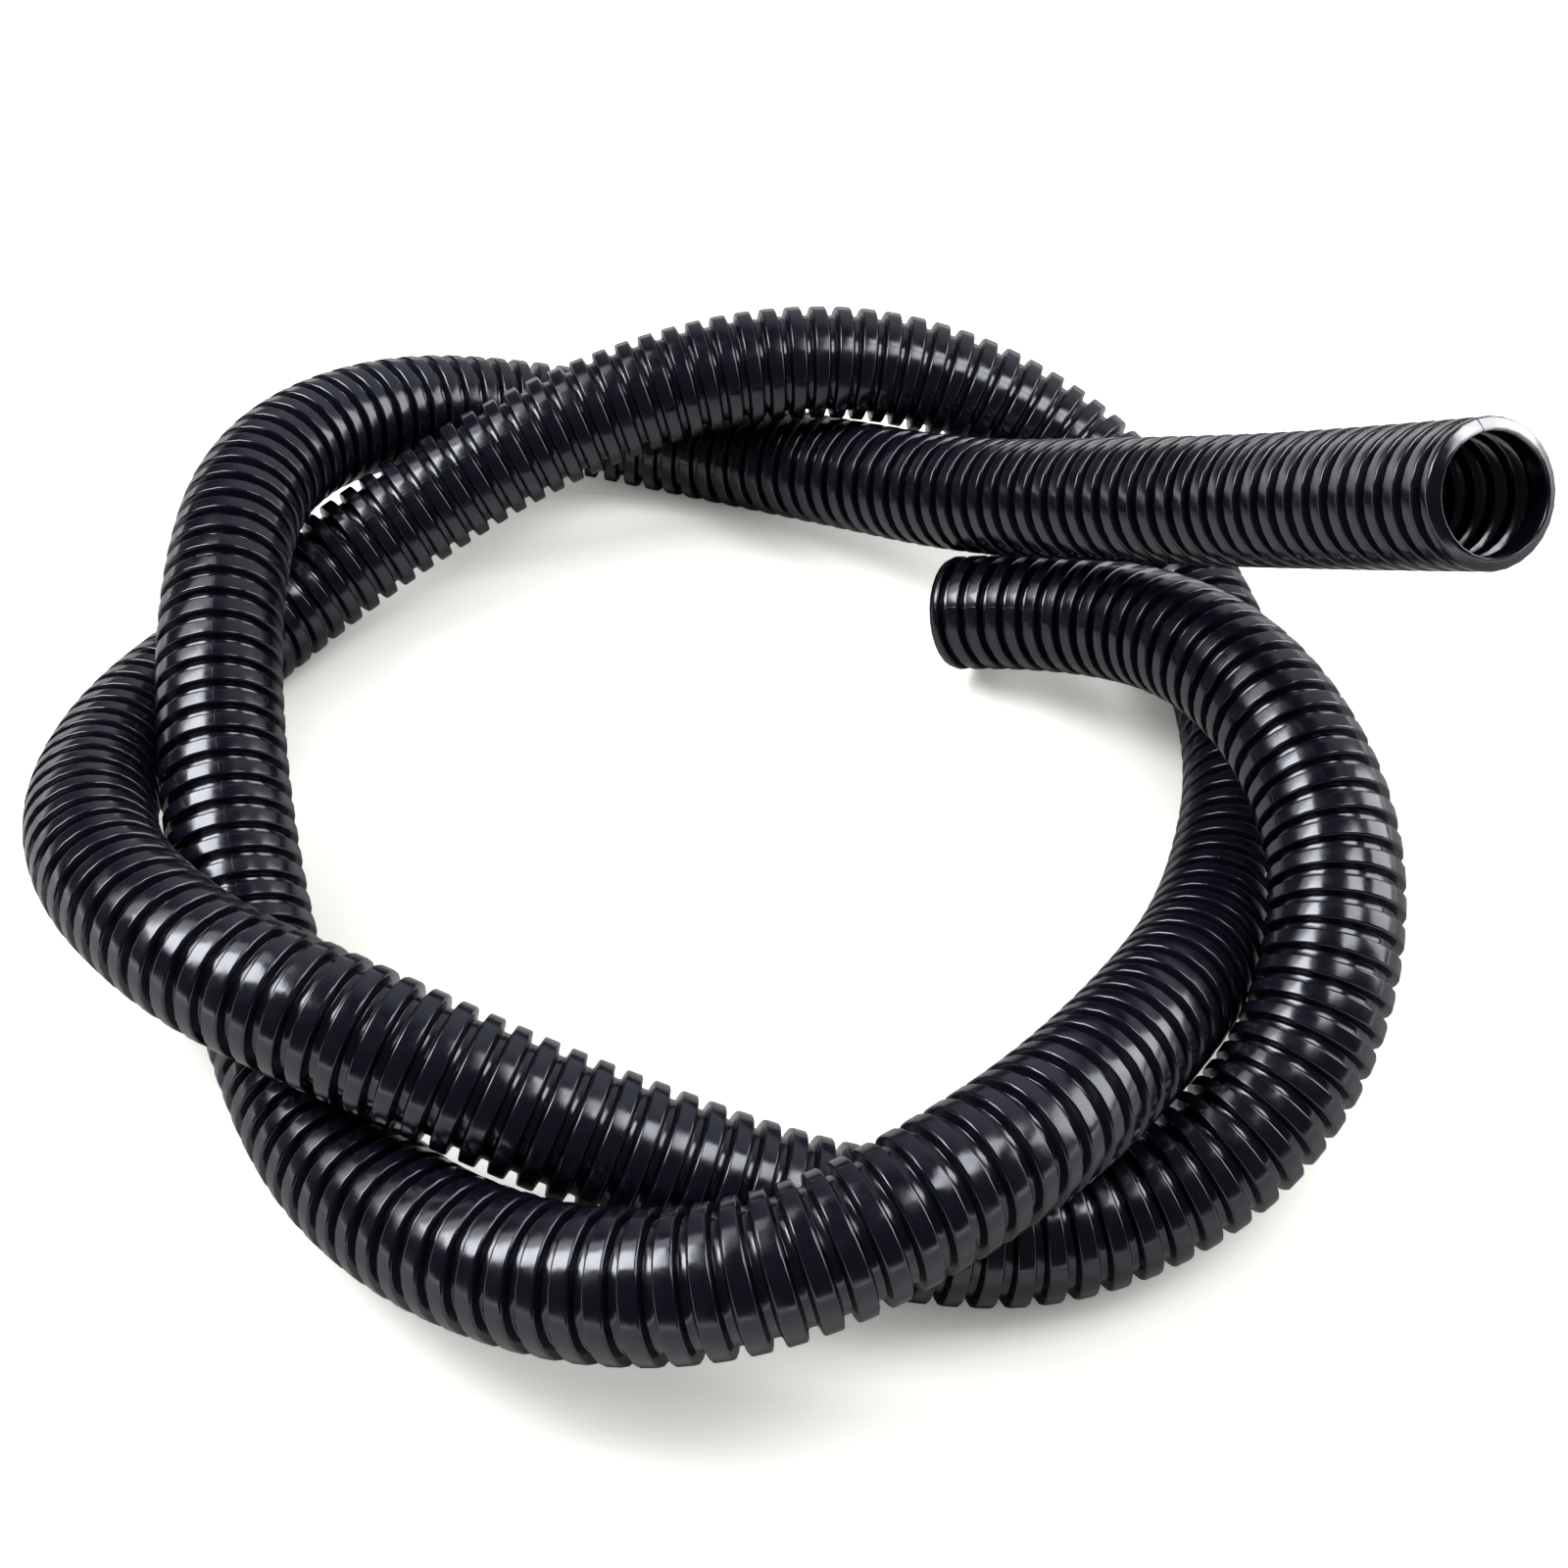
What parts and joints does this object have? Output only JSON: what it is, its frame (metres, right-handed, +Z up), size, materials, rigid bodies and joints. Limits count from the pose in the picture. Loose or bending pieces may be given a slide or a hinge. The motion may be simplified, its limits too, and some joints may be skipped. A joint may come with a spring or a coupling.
{
  "type": "corrugated conduit",
  "caption": "Length of black corrugated plastic cable conduit, open at both ends, lying in a loose double loop with one end raised.",
  "frame": {"origin": "centre of the underside of the box round the conduit as it lies, on the level floor", "axes": "+Z up from the floor; +X to the right and +Y away as seen from the side that the raised open end points to"},
  "size_m": [0.3102, 0.3065, 0.1427],
  "materials": {
    "conduit": "satin black moulded plastic"
  },
  "bodies": {
    "root": {"conduit": "conduit"}
  },
  "joints": []
}
